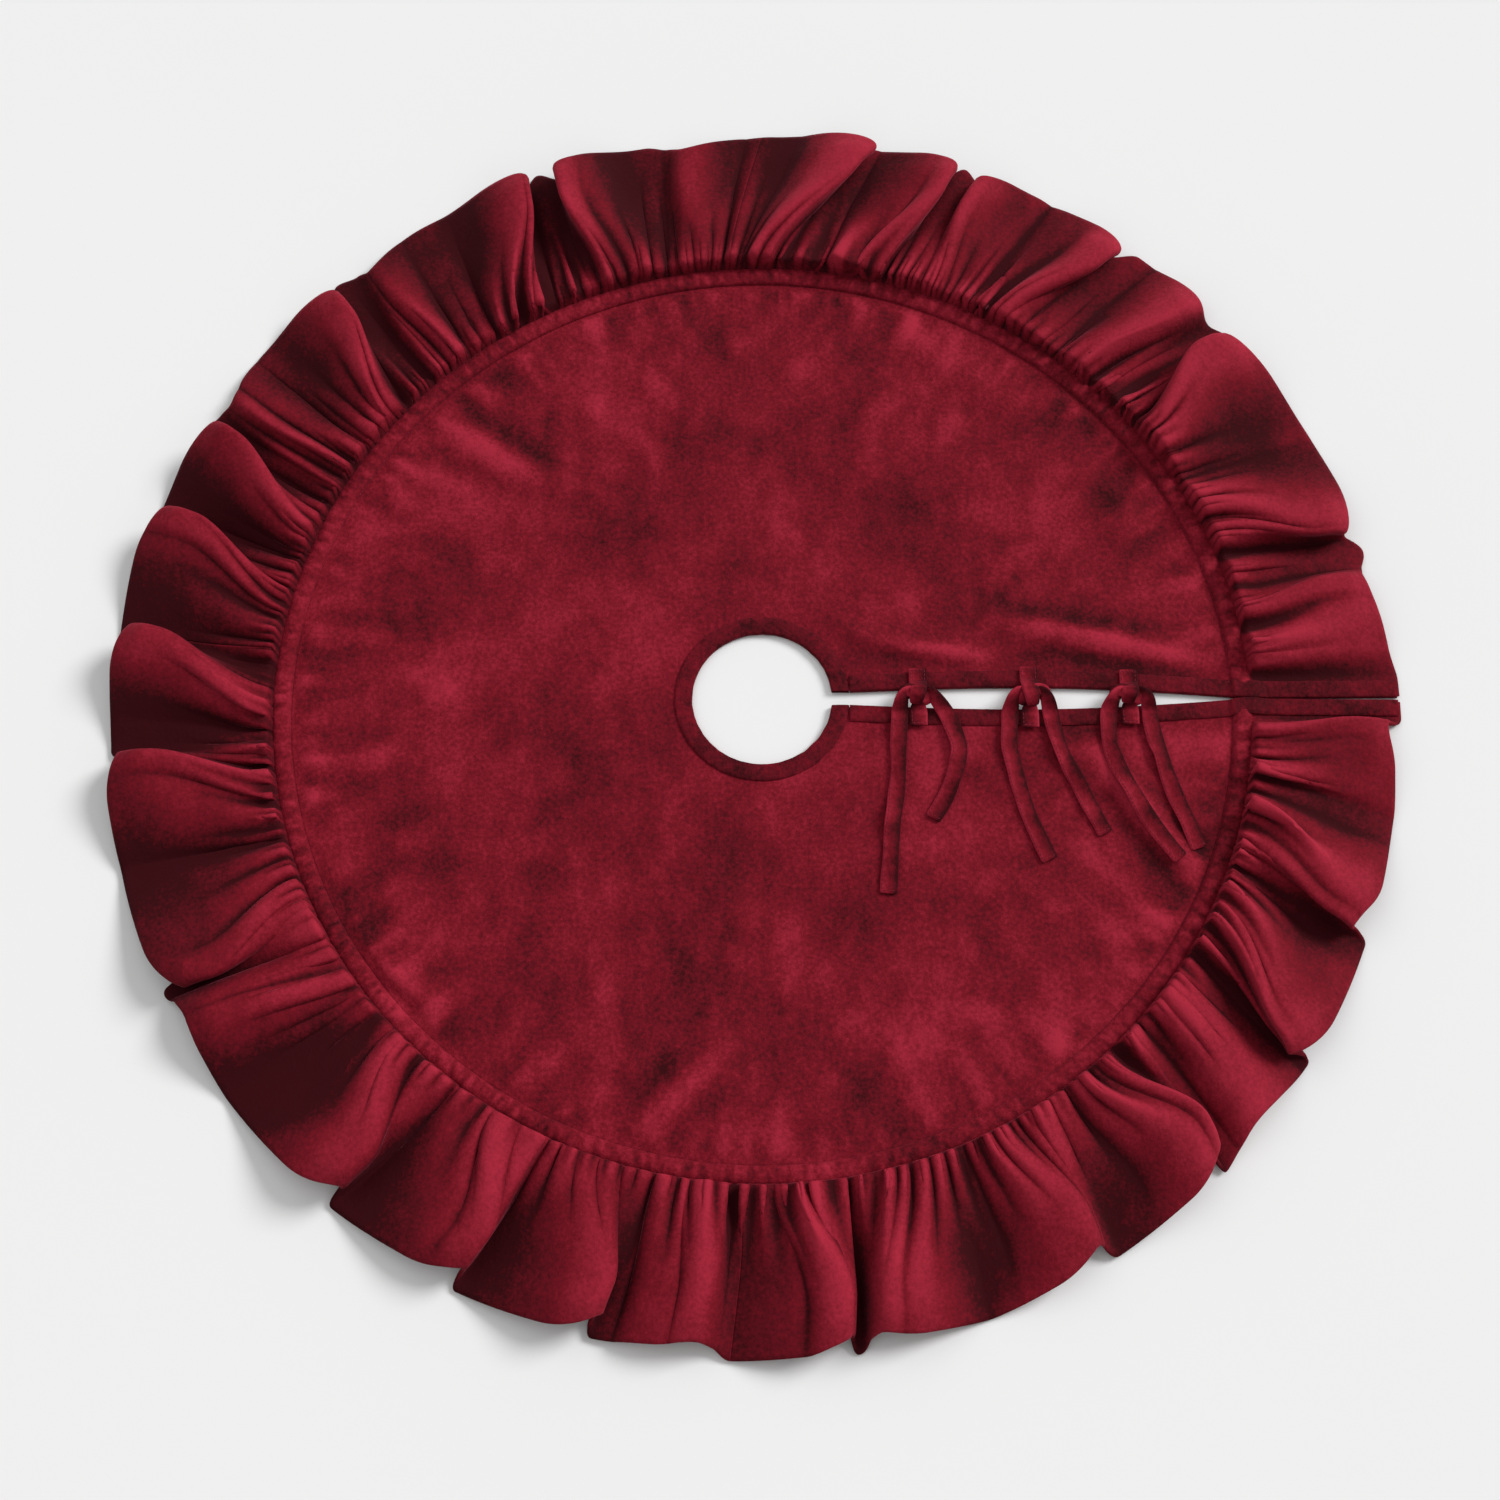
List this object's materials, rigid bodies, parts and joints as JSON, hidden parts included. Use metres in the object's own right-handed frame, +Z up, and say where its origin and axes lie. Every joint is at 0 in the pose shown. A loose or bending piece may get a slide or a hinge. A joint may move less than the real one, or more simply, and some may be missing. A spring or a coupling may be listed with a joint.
{
  "type": "tree skirt",
  "caption": "Round velvet skirt for the foot of a tree, with a trunk hole, a gathered ruffle around it and a slit to the hem closed by ties.",
  "frame": {"origin": "on the floor below the centre of the trunk hole, which is the centre of the underside", "axes": "+Z up, +X along the slit from the trunk hole to the hem; the loose tails lie on the -Y side of the slit"},
  "size_m": [1.22, 1.22, 0.0403],
  "materials": {
    "velvet": "burgundy cotton velvet, soft pile",
    "lining": "burgundy plain weave lining, matt",
    "thread": "burgundy sewing thread"
  },
  "bodies": {
    "skirt": {"velvet_panel": "velvet", "backing_panel": "lining", "hole_binding": "velvet", "slit_binding_far": "velvet", "slit_binding_near": "velvet", "ruffle_1": "velvet", "ruffle_2": "velvet", "ruffle_3": "velvet", "ruffle_4": "velvet", "seam_topstitching": "thread", "hole_stitching": "thread", "slit_stitching_far": "thread", "slit_stitching_near": "thread", "tie_1_far_root": "velvet", "tie_1_near_root": "velvet", "tie_1_far_tack": "thread", "tie_1_near_tack": "thread", "tie_2_far_root": "velvet", "tie_2_near_root": "velvet", "tie_2_far_tack": "thread", "tie_2_near_tack": "thread", "tie_3_far_root": "velvet", "tie_3_near_root": "velvet", "tie_3_far_tack": "thread", "tie_3_near_tack": "thread"},
    "tail_1_left": {"tie_1_left_tail": "velvet"},
    "tail_1_right": {"tie_1_right_tail": "velvet"},
    "tail_2_left": {"tie_2_left_tail": "velvet"},
    "tail_2_right": {"tie_2_right_tail": "velvet"},
    "tail_3_left": {"tie_3_left_tail": "velvet"},
    "tail_3_right": {"tie_3_right_tail": "velvet"}
  },
  "joints": [
    {"name": "tail_1_left_lift", "type": "hinge", "parent": "skirt", "child": "tail_1_left", "pos_m": [0.1317, 0, 0.0112], "axis": [-1, 0, 0], "range_deg": [0, 175]},
    {"name": "tail_1_right_lift", "type": "hinge", "parent": "skirt", "child": "tail_1_right", "pos_m": [0.1663, 0, 0.0112], "axis": [-1, 0, 0], "range_deg": [0, 175]},
    {"name": "tail_2_left_lift", "type": "hinge", "parent": "skirt", "child": "tail_2_left", "pos_m": [0.2378, 0, 0.0112], "axis": [-1, 0, 0], "range_deg": [0, 175]},
    {"name": "tail_2_right_lift", "type": "hinge", "parent": "skirt", "child": "tail_2_right", "pos_m": [0.2724, 0, 0.0112], "axis": [-1, 0, 0], "range_deg": [0, 175]},
    {"name": "tail_3_left_lift", "type": "hinge", "parent": "skirt", "child": "tail_3_left", "pos_m": [0.3332, 0, 0.0112], "axis": [-1, 0, 0], "range_deg": [0, 175]},
    {"name": "tail_3_right_lift", "type": "hinge", "parent": "skirt", "child": "tail_3_right", "pos_m": [0.3678, 0, 0.0112], "axis": [-1, 0, 0], "range_deg": [0, 175]}
  ]
}
